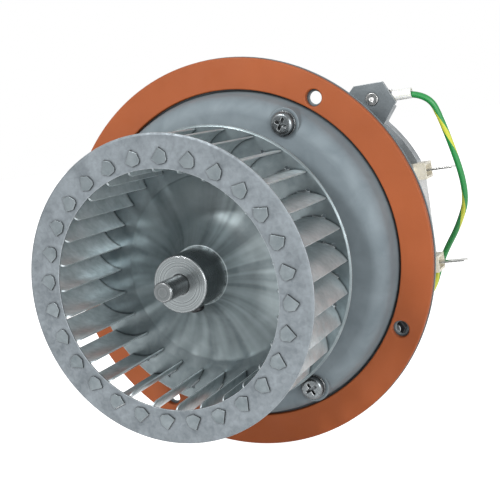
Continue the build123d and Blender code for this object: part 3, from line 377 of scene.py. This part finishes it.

# Screws, washers, standoffs, motor bolts and spacers: zinc-plated steel. The plate's three
# cross-recess pan heads stand on the drum's edge, with painted shade in the recess, and bright round the rim.
dark_zinc = metal(
    "zinc_plate_dark",
    dull=(0.055, 0.062, 0.066),
    bright=(0.22, 0.24, 0.25),
    metallic=0.9,
    smooth=0.20,
    rough=0.36,
    patch_scale=260.0,
    grain_scale=1500.0,
    grain_depth=0.00001,
    worn=(0.80, 0.82, 0.83),
)
dress(dark_zinc, "plate_screws", "screw_washers")
bright_zinc = metal(
    "zinc_plate_bright",
    dull=(0.34, 0.36, 0.37),
    bright=(0.60, 0.62, 0.63),
    metallic=0.9,
    smooth=0.25,
    rough=0.45,
    patch_scale=150.0,
    grain_scale=1500.0,
    grain_depth=0.00001,
)
dress(bright_zinc, "standoffs", "bracket_screws", "motor_bolts", "motor_nuts", "stack_spacers", "earth_screw")

# Shaft seal and the bearings' felts: fine tangled fibres. The seal is graphite felt, pressed into its
# cup behind the drum's bore, and the felts round the bearings are brown with oil.
felt_roughness = 0.95
felt_lift = 0.0002


def noise(tree, place, scale, detail, roughness=0.5, distortion=0.0):
    step = tree.nodes.new("ShaderNodeTexNoise")
    tree.links.new(place, step.inputs["Vector"])
    step.inputs["Scale"].default_value = scale
    step.inputs["Detail"].default_value = detail
    step.inputs["Roughness"].default_value = roughness
    step.inputs["Distortion"].default_value = distortion
    return step.outputs["Fac"]


def felt(name, dark, light, scale):
    made, tree, surface = new_finish(name)
    surface.inputs["Roughness"].default_value = felt_roughness
    place = tree.nodes.new("ShaderNodeTexCoord").outputs["Object"]
    strands = noise(tree, place, scale, detail=8.0, roughness=0.75, distortion=1.5)
    colour = mixed(tree, spread(tree, strands, noise_low, noise_high, 0.0, 1.0), dark, light)
    tree.links.new(colour, surface.inputs["Base Color"])
    raised(tree, surface, strands, felt_lift)
    return made


graphite_felt = felt("graphite_felt_fibre", dark=(0.010, 0.010, 0.011), light=(0.045, 0.045, 0.048), scale=900.0)
dress(graphite_felt, "shaft_seal")
oiled_felt = felt("oiled_felt_fibre", dark=(0.10, 0.065, 0.03), light=(0.26, 0.18, 0.09), scale=800.0)
dress(oiled_felt, "front_felt", "rear_felt")

# Shaft, wheel hub, fan hub and rotor collars: turned metal. Fine rings from the tool run round the
# shaft's axis on every face that was cut across it. The same effect gives the bell's radial streaks, a painted
# reflection of the blades.
ring_pitch = 3000.0
streak_count = 7.0
streak_run = 12.0
streak_low, streak_high = 0.35, 0.65
least_radius = 0.001
tool_edge = (0.86, 0.87, 0.88)
ring_strength = 0.5

round_marks, round_in, round_out = new_effect(
    "marks_round_the_shaft",
    [("Ring Pitch", ring_pitch), ("Streak Count", streak_count)],
    [("Rings", "NodeSocketFloat"), ("Streaks", "NodeSocketFloat"), ("Radius", "NodeSocketFloat")],
)
round_split = round_marks.nodes.new("ShaderNodeSeparateXYZ")
round_marks.links.new(round_marks.nodes.new("ShaderNodeTexCoord").outputs["Object"], round_split.inputs[0])
round_x, round_y, round_z = round_split.outputs
round_square = plus(round_marks, times(round_marks, round_x, round_x), times(round_marks, round_z, round_z))
round_radius = worked_out(round_marks, "SQRT", round_square)
round_marks.links.new(round_radius, round_out.inputs["Radius"])

ring_noise = round_marks.nodes.new("ShaderNodeTexNoise")
ring_noise.noise_dimensions = "1D"
ring_run = times(round_marks, plus(round_marks, round_radius, round_y), round_in.outputs["Ring Pitch"])
round_marks.links.new(ring_run, ring_noise.inputs["W"])
ring_noise.inputs["Scale"].default_value = 1.0
ring_noise.inputs["Detail"].default_value = 3.0
ring_lines = spread(round_marks, ring_noise.outputs["Fac"], noise_low, noise_high, 0.0, 1.0)
round_marks.links.new(ring_lines, round_out.inputs["Rings"])

# Streaks: soft radial bands round the shaft. The bell uses them as a painted reflection of the blades.
streak_spot = round_marks.nodes.new("ShaderNodeCombineXYZ")
for place, part in enumerate((round_x, round_z)):
    heading = worked_out(round_marks, "DIVIDE", part, worked_out(round_marks, "MAXIMUM", round_radius, least_radius))
    round_marks.links.new(times(round_marks, heading, round_in.outputs["Streak Count"]), streak_spot.inputs[place])
round_marks.links.new(times(round_marks, round_radius, streak_run), streak_spot.inputs[2])
streak_noise = noise(round_marks, streak_spot.outputs[0], 1.0, detail=1.2)
streak_lines = spread(round_marks, streak_noise, streak_low, streak_high, 0.0, 1.0)
round_marks.links.new(streak_lines, round_out.inputs["Streaks"])


def turned_metal(name, dull, bright, metallic, smooth, rough, ring_depth):
    """A turned metal: rings round the shaft in colour and relief, and brighter edges."""
    made, tree, surface = new_finish(name)
    surface.inputs["Metallic"].default_value = metallic
    marks = placed(tree, round_marks)
    edges = placed(tree, wear)
    colour = mixed(tree, marks.outputs["Rings"], dull, bright)
    tree.links.new(mixed(tree, edges.outputs["Mask"], colour, tool_edge), surface.inputs["Base Color"])
    gloss = spread(tree, marks.outputs["Rings"], 0.0, 1.0, rough, smooth)
    tree.links.new(gloss, surface.inputs["Roughness"])
    raised(tree, surface, marks.outputs["Rings"], ring_depth, ring_strength, over=edges.outputs["Normal"])
    return made


ground_steel = turned_metal(
    "ground_steel_shaft",
    dull=(0.075, 0.083, 0.086),
    bright=(0.145, 0.156, 0.160),
    metallic=0.95,
    smooth=0.22,
    rough=0.34,
    ring_depth=0.00001,
)
dress(ground_steel, "shaft")
turned_steel = turned_metal(
    "turned_steel_hub",
    dull=(0.095, 0.108, 0.112),
    bright=(0.25, 0.270, 0.276),
    metallic=0.95,
    smooth=0.20,
    rough=0.38,
    ring_depth=0.00004,
)
dress(turned_steel, "wheel_hub", "rotor_collars")
turned_aluminium = turned_metal(
    "turned_aluminium_hub",
    dull=(0.50, 0.51, 0.52),
    bright=(0.66, 0.67, 0.68),
    metallic=0.9,
    smooth=0.30,
    rough=0.45,
    ring_depth=0.00002,
)
dress(turned_aluminium, "cooling_fan_hub")

# Set screw and earth nut: black oxide steel. The screw sits in the hub's side, and the nut is the
# dark thing that shows through the plate's lower right fixing hole.
black_oxide = metal(
    "black_oxide",
    dull=(0.010, 0.010, 0.011),
    bright=(0.028, 0.028, 0.030),
    metallic=0.6,
    smooth=0.35,
    rough=0.55,
    patch_scale=200.0,
    grain_scale=1500.0,
    grain_depth=0.00001,
    worn=(0.10, 0.10, 0.11),
)
dress(black_oxide, "set_screw", "earth_nut")

# Wheel: aluminised steel sheet. The flat front ring and the back plate's land carry the blades' tabs.
# The blades are cut from the same sheet, but their colour is a brighter copy of it, painted light, and
# the tabs are darkened back to the ring's tone.
tab_station_front = -0.0702
tab_station_rear = -0.0253
tab_darkening = (0.36, 0.37, 0.38)

ring_sheet = metal(
    "aluminised_ring",
    dull=(0.098, 0.114, 0.126),
    bright=(0.200, 0.226, 0.245),
    metallic=0.50,
    smooth=0.40,
    rough=0.60,
    patch_scale=150.0,
    grain_scale=1400.0,
    grain_depth=0.00003,
    worn=(0.62, 0.66, 0.68),
)
dress(ring_sheet, "wheel_front_ring")
# Painted light: the blades' colour is a brighter, lit copy of the sheet that the ring and bell share.
blade_sheet = metal(
    "aluminised_blades",
    dull=(0.27, 0.32, 0.335),
    bright=(0.54, 0.60, 0.62),
    metallic=0.62,
    smooth=0.28,
    rough=0.46,
    patch_scale=110.0,
    grain_scale=1300.0,
    grain_depth=0.00003,
    worn=(0.80, 0.83, 0.84),
)
blade_tree = blade_sheet.node_tree
blade_colour = blade_tree.nodes["Principled BSDF"].inputs["Base Color"]
blade_split = blade_tree.nodes.new("ShaderNodeSeparateXYZ")
blade_tree.links.new(blade_tree.nodes.new("ShaderNodeTexCoord").outputs["Object"], blade_split.inputs[0])
# The tabs are multiplied back down to the ring's darker tone, which undoes the blades' painted light there.
folded_front = worked_out(blade_tree, "LESS_THAN", blade_split.outputs["Y"], tab_station_front)
folded_rear = worked_out(blade_tree, "GREATER_THAN", blade_split.outputs["Y"], tab_station_rear)
folded = blade_tree.nodes.new("ShaderNodeMix")
folded.data_type = "RGBA"
folded.blend_type = "MULTIPLY"
folded.inputs["B"].default_value = (*tab_darkening, 1)
blade_tree.links.new(worked_out(blade_tree, "MAXIMUM", folded_front, folded_rear), folded.inputs["Factor"])
blade_tree.links.new(blade_colour.links[0].from_socket, folded.inputs["A"])
blade_tree.links.new(folded.outputs["Result"], blade_colour)
dress(blade_sheet, "wheel_blades")

# Back plate: the same sheet, its middle drawn forward as a bell to the hub. Soft bright and dull
# streaks run out from the hub to the crease round the bell's foot: a painted reflection of the blades.
bell_crease = 0.0402
bell_crease_width = 0.001
bell_reflection_share = 0.55
bell_reflection_colour = (0.31, 0.36, 0.37)

bell_sheet = metal(
    "aluminised_bell",
    dull=(0.080, 0.102, 0.109),
    bright=(0.20, 0.232, 0.242),
    metallic=0.85,
    smooth=0.32,
    rough=0.37,
    grain_scale=1500.0,
    worn=(0.70, 0.74, 0.75),
)
bell_tree = bell_sheet.node_tree
bell_colour = bell_tree.nodes["Principled BSDF"].inputs["Base Color"]
bell_marks = placed(bell_tree, round_marks, streak_count=6.5)
bell_inside = spread(bell_tree, bell_marks.outputs["Radius"], bell_crease, bell_crease - bell_crease_width, 0.0, 1.0)
# Painted reflection: the blades' reflection is painted as bright radial streaks inside the bell's crease.
bell_reflection = times(bell_tree, times(bell_tree, bell_marks.outputs["Streaks"], bell_reflection_share), bell_inside)
bell_reflected = mixed(bell_tree, bell_reflection, bell_colour.links[0].from_socket, bell_reflection_colour)
bell_tree.links.new(bell_reflected, bell_colour)
dress(bell_sheet, "wheel_back_plate")

# Cooling fan: satin aluminium sheet on the shaft, which moves air between the hot plate and the
# motor behind it.
fan_sheet = metal(
    "satin_aluminium_fan",
    dull=(0.48, 0.49, 0.50),
    bright=(0.66, 0.67, 0.68),
    metallic=0.85,
    smooth=0.34,
    rough=0.50,
    patch_scale=90.0,
    grain_scale=1000.0,
)
dress(fan_sheet, "cooling_fan")

# Front bracket and rear shield: dulled zinc-coated steel sheet that holds the motor at each end. The
# bracket's upper right ear stands out from behind the gasket and carries the earth tab.
bracket_sheet = metal(
    "bracket_zinc",
    dull=(0.095, 0.11, 0.118),
    bright=(0.21, 0.235, 0.25),
    metallic=0.6,
    smooth=0.34,
    rough=0.55,
    patch_scale=70.0,
    worn=(0.72, 0.74, 0.75),
)
dress(bracket_sheet, "front_bracket")
shield_sheet = metal(
    "shield_zinc",
    dull=(0.15, 0.165, 0.175),
    bright=(0.36, 0.39, 0.41),
    metallic=0.6,
    smooth=0.36,
    rough=0.55,
    patch_scale=70.0,
    worn=(0.66, 0.68, 0.70),
)
dress(shield_sheet, "rear_shield")

# Earth tab, receptacle, ring terminal and the coil's spades: tinned brass, stamped and crimped. The
# rivet that holds the tab on the ear is a bright nickel-plated eyelet.
tinned_brass = metal(
    "tinned_brass",
    dull=(0.44, 0.44, 0.42),
    bright=(0.68, 0.68, 0.66),
    metallic=0.9,
    smooth=0.22,
    rough=0.40,
    patch_scale=200.0,
    grain_scale=1400.0,
    grain_depth=0.00001,
    worn=(0.86, 0.86, 0.85),
)
dress(tinned_brass, "earth_tab", "earth_receptacle", "ring_terminal", "coil_terminals")
eyelet = metal(
    "nickel_eyelet",
    dull=(0.50, 0.50, 0.49),
    bright=(0.76, 0.76, 0.75),
    metallic=0.95,
    smooth=0.16,
    rough=0.30,
    patch_scale=200.0,
    grain_scale=1400.0,
    grain_depth=0.00001,
    worn=(0.92, 0.92, 0.91),
)
dress(eyelet, "earth_rivet")

# Earth sleeve: a short tube of whitish translucent plastic, pushed over the receptacle's crimp.
# Light goes a little way into it, and less far into the cream moulding of the bobbin.
light_goes_in = (0.002, 0.002, 0.0015)
gloss_varies = 0.08


def plastic(name, dull, bright, rough, patch_scale, see_through=0.0):
    made, tree, surface = new_finish(name)
    surface.inputs["Subsurface Weight"].default_value = see_through
    surface.inputs["Subsurface Radius"].default_value = light_goes_in
    marks = placed(tree, mottle, patch_scale=patch_scale, grain_scale=1600.0)
    tree.links.new(mixed(tree, marks.outputs["Patches"], dull, bright), surface.inputs["Base Color"])
    gloss = spread(tree, marks.outputs["Smudges"], 0.0, 1.0, rough - gloss_varies, rough + gloss_varies)
    tree.links.new(gloss, surface.inputs["Roughness"])
    raised(tree, surface, marks.outputs["Grain"], moulded_grain_depth, moulded_grain_strength)
    return made


sleeve_plastic = plastic(
    "sleeve_translucent",
    dull=(0.68, 0.69, 0.67),
    bright=(0.84, 0.85, 0.83),
    rough=0.35,
    patch_scale=160.0,
    see_through=0.3,
)
dress(sleeve_plastic, "earth_sleeve")

# Earth wire: limp stranded wire in green insulation with a yellow stripe wound round it, from the
# receptacle on the ear, past the coil's spades, to the ring terminal on the rear of the bracket.
wire_radius = 0.0014
wire_sides = 20
insulation_green = (0.012, 0.20, 0.045)
stripe_yellow = (0.50, 0.52, 0.05)
stripe_turns_per_metre = 24.0
stripe_share = 0.24
insulation_smooth, insulation_rough = 0.32, 0.45
wire_route = [
    (0.0705, 0.0381, 0.0589),
    (0.0843, 0.0381, 0.0589),
    (0.0889, 0.0430, 0.0425),
    (0.0932, 0.0535, 0.0110),
    (0.0860, 0.0600, -0.0040),
    (0.0762, 0.0685, -0.0168),
    (0.0713, 0.0710, -0.0258),
    (0.0690, 0.0660, -0.0335),
    (0.0650, 0.0585, -0.0386),
    (0.062043, 0.0500, -0.040157),
    (0.062043, 0.0413, -0.040157),
]

route_curve = bpy.data.curves.new("earth_wire_route", "CURVE")
route_curve.dimensions = "3D"
route_curve.resolution_u = 16
route_line = route_curve.splines.new("NURBS")
route_line.points.add(len(wire_route) - 1)
for route_point, route_spot in zip(route_line.points, wire_route):
    route_point.co = (*route_spot, 1)
route_line.order_u = 3
route_line.use_endpoint_u = True
route_holder = bpy.data.objects.new("earth_wire_route", route_curve)
bpy.context.scene.collection.objects.link(route_holder)
bpy.context.view_layer.update()
route_mesh = bpy.data.meshes.new_from_object(route_holder.evaluated_get(bpy.context.evaluated_depsgraph_get()))
wire_path = [vertex.co.copy() for vertex in route_mesh.vertices]
bpy.data.objects.remove(route_holder)

wire_build = bmesh.new()
wire_map = wire_build.loops.layers.uv.new("along_and_round")
wire_turns = [2 * pi * k / wire_sides for k in range(wire_sides)]
wire_rings = []
wire_run = [0.0]
wire_side = None
for place, spot in enumerate(wire_path):
    ahead = (wire_path[min(place + 1, len(wire_path) - 1)] - wire_path[max(place - 1, 0)]).normalized()
    if place:
        wire_run.append(wire_run[-1] + (spot - wire_path[place - 1]).length)
    wire_side = ahead.orthogonal() if wire_side is None else wire_side - ahead * wire_side.dot(ahead)
    wire_side.normalize()
    other_side = ahead.cross(wire_side)
    outward = [wire_side * cos(turn) + other_side * sin(turn) for turn in wire_turns]
    wire_rings.append([wire_build.verts.new(spot + wire_radius * direction) for direction in outward])
for place in range(len(wire_rings) - 1):
    here, beyond = wire_rings[place], wire_rings[place + 1]
    for k in range(wire_sides):
        after = (k + 1) % wire_sides
        face = wire_build.faces.new((here[k], here[after], beyond[after], beyond[k]))
        face.smooth = True
        corners = ((place, k), (place, k + 1), (place + 1, k + 1), (place + 1, k))
        for loop, (step, round_step) in zip(face.loops, corners):
            loop[wire_map].uv = (wire_run[step], round_step / wire_sides)
wire_build.faces.new(list(reversed(wire_rings[0])))
wire_build.faces.new(wire_rings[-1])
wire_mesh = bpy.data.meshes.new("green_yellow_wire")
wire_build.to_mesh(wire_mesh)
wire_build.free()
wire = bpy.data.objects.new("green_yellow_wire", wire_mesh)
bpy.context.scene.collection.objects.link(wire)

insulation, insulation_tree, insulation_surface = new_finish("wire_insulation_green_yellow")
insulation_split = insulation_tree.nodes.new("ShaderNodeSeparateXYZ")
insulation_map = insulation_tree.nodes.new("ShaderNodeUVMap")
insulation_map.uv_map = "along_and_round"
insulation_tree.links.new(insulation_map.outputs[0], insulation_split.inputs[0])
stripe_along = times(insulation_tree, insulation_split.outputs["X"], stripe_turns_per_metre)
stripe_wound = plus(insulation_tree, stripe_along, insulation_split.outputs["Y"])
stripe_place = worked_out(insulation_tree, "FRACT", stripe_wound)
stripe = worked_out(insulation_tree, "LESS_THAN", stripe_place, stripe_share)
striped = mixed(insulation_tree, stripe, insulation_green, stripe_yellow)
insulation_tree.links.new(striped, insulation_surface.inputs["Base Color"])
insulation_place = insulation_tree.nodes.new("ShaderNodeTexCoord").outputs["Object"]
insulation_grain = noise(insulation_tree, insulation_place, 700.0, detail=3.0)
insulation_gloss = spread(
    insulation_tree, insulation_grain, noise_low, noise_high, insulation_smooth, insulation_rough
)
insulation_tree.links.new(insulation_gloss, insulation_surface.inputs["Roughness"])
wire.data.materials.append(insulation)
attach(wire, "frame")
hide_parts("earth_wire")

# Stator and rotor: varnished laminations, stacked along the shaft, whose edges show as fine lines.
# Copper shading rings sit in the yoke, and the rotor's end rings are cast aluminium.
half_lamination = 0.00025
varnish_dark = (0.030, 0.030, 0.033)
varnish_light = (0.15, 0.15, 0.16)
varnish_smooth, varnish_rough = 0.30, 0.55
lamination_groove = 0.00005

laminations, lamination_tree, lamination_surface = new_finish("varnished_laminations")
lamination_surface.inputs["Metallic"].default_value = 0.5
lamination_split = lamination_tree.nodes.new("ShaderNodeSeparateXYZ")
lamination_place = lamination_tree.nodes.new("ShaderNodeTexCoord").outputs["Object"]
lamination_tree.links.new(lamination_place, lamination_split.inputs[0])
sheet_lines = worked_out(lamination_tree, "PINGPONG", lamination_split.outputs["Y"], half_lamination)
sheet_height = spread(lamination_tree, sheet_lines, 0.0, half_lamination, 0.0, 1.0)
varnish = noise(lamination_tree, lamination_place, 120.0, detail=5.0)
varnished = mixed(lamination_tree, times(lamination_tree, sheet_height, varnish), varnish_dark, varnish_light)
lamination_tree.links.new(varnished, lamination_surface.inputs["Base Color"])
varnish_gloss = spread(lamination_tree, varnish, noise_low, noise_high, varnish_smooth, varnish_rough)
lamination_tree.links.new(varnish_gloss, lamination_surface.inputs["Roughness"])
raised(lamination_tree, lamination_surface, sheet_height, lamination_groove)
dress(laminations, "stator_yoke", "core_bar", "rotor_core")
copper = metal(
    "bare_copper",
    dull=(0.42, 0.17, 0.08),
    bright=(0.68, 0.33, 0.19),
    metallic=0.95,
    smooth=0.28,
    rough=0.46,
    patch_scale=120.0,
    grain_scale=1200.0,
    grain_depth=0.00001,
    worn=(0.85, 0.52, 0.36),
)
dress(copper, "shading_rings")
cast_aluminium = metal(
    "cast_aluminium",
    dull=(0.40, 0.41, 0.41),
    bright=(0.58, 0.59, 0.60),
    metallic=0.85,
    smooth=0.42,
    rough=0.62,
    patch_scale=110.0,
    grain_scale=500.0,
    grain_depth=0.00008,
)
dress(cast_aluminium, "rotor_end_rings")

# Bobbin: cream moulding that carries the coil, with its terminal block to the right. The coil is
# wrapped in glossy tape.
bobbin_moulding = plastic(
    "cream_moulding",
    dull=(0.66, 0.61, 0.50),
    bright=(0.78, 0.74, 0.63),
    rough=0.45,
    patch_scale=90.0,
    see_through=0.08,
)
dress(bobbin_moulding, "bobbin")
winding_tape = plastic(
    "winding_tape_wrap",
    dull=(0.30, 0.31, 0.31),
    bright=(0.52, 0.53, 0.52),
    rough=0.25,
    patch_scale=120.0,
)
dress(winding_tape, "winding")

# Bearings: oil-filled bronze under spring steel caps, with moulded thrust washers on the rotor
# between its collars and the bearings.
bronze = metal(
    "oiled_bronze",
    dull=(0.26, 0.14, 0.06),
    bright=(0.48, 0.29, 0.14),
    metallic=0.85,
    smooth=0.36,
    rough=0.55,
    patch_scale=200.0,
    grain_scale=1300.0,
    grain_depth=0.00003,
    worn=(0.66, 0.44, 0.24),
)
dress(bronze, "front_bearing", "rear_bearing")
spring_steel = metal(
    "spring_steel_caps",
    dull=(0.28, 0.28, 0.29),
    bright=(0.46, 0.46, 0.47),
    metallic=0.9,
    smooth=0.28,
    rough=0.44,
    patch_scale=100.0,
    grain_scale=1000.0,
)
dress(spring_steel, "front_bearing_cap", "rear_bearing_cap")
washer_moulding = plastic(
    "washer_moulding",
    dull=(0.58, 0.56, 0.48),
    bright=(0.70, 0.68, 0.60),
    rough=0.5,
    patch_scale=150.0,
)
dress(washer_moulding, "thrust_washers")
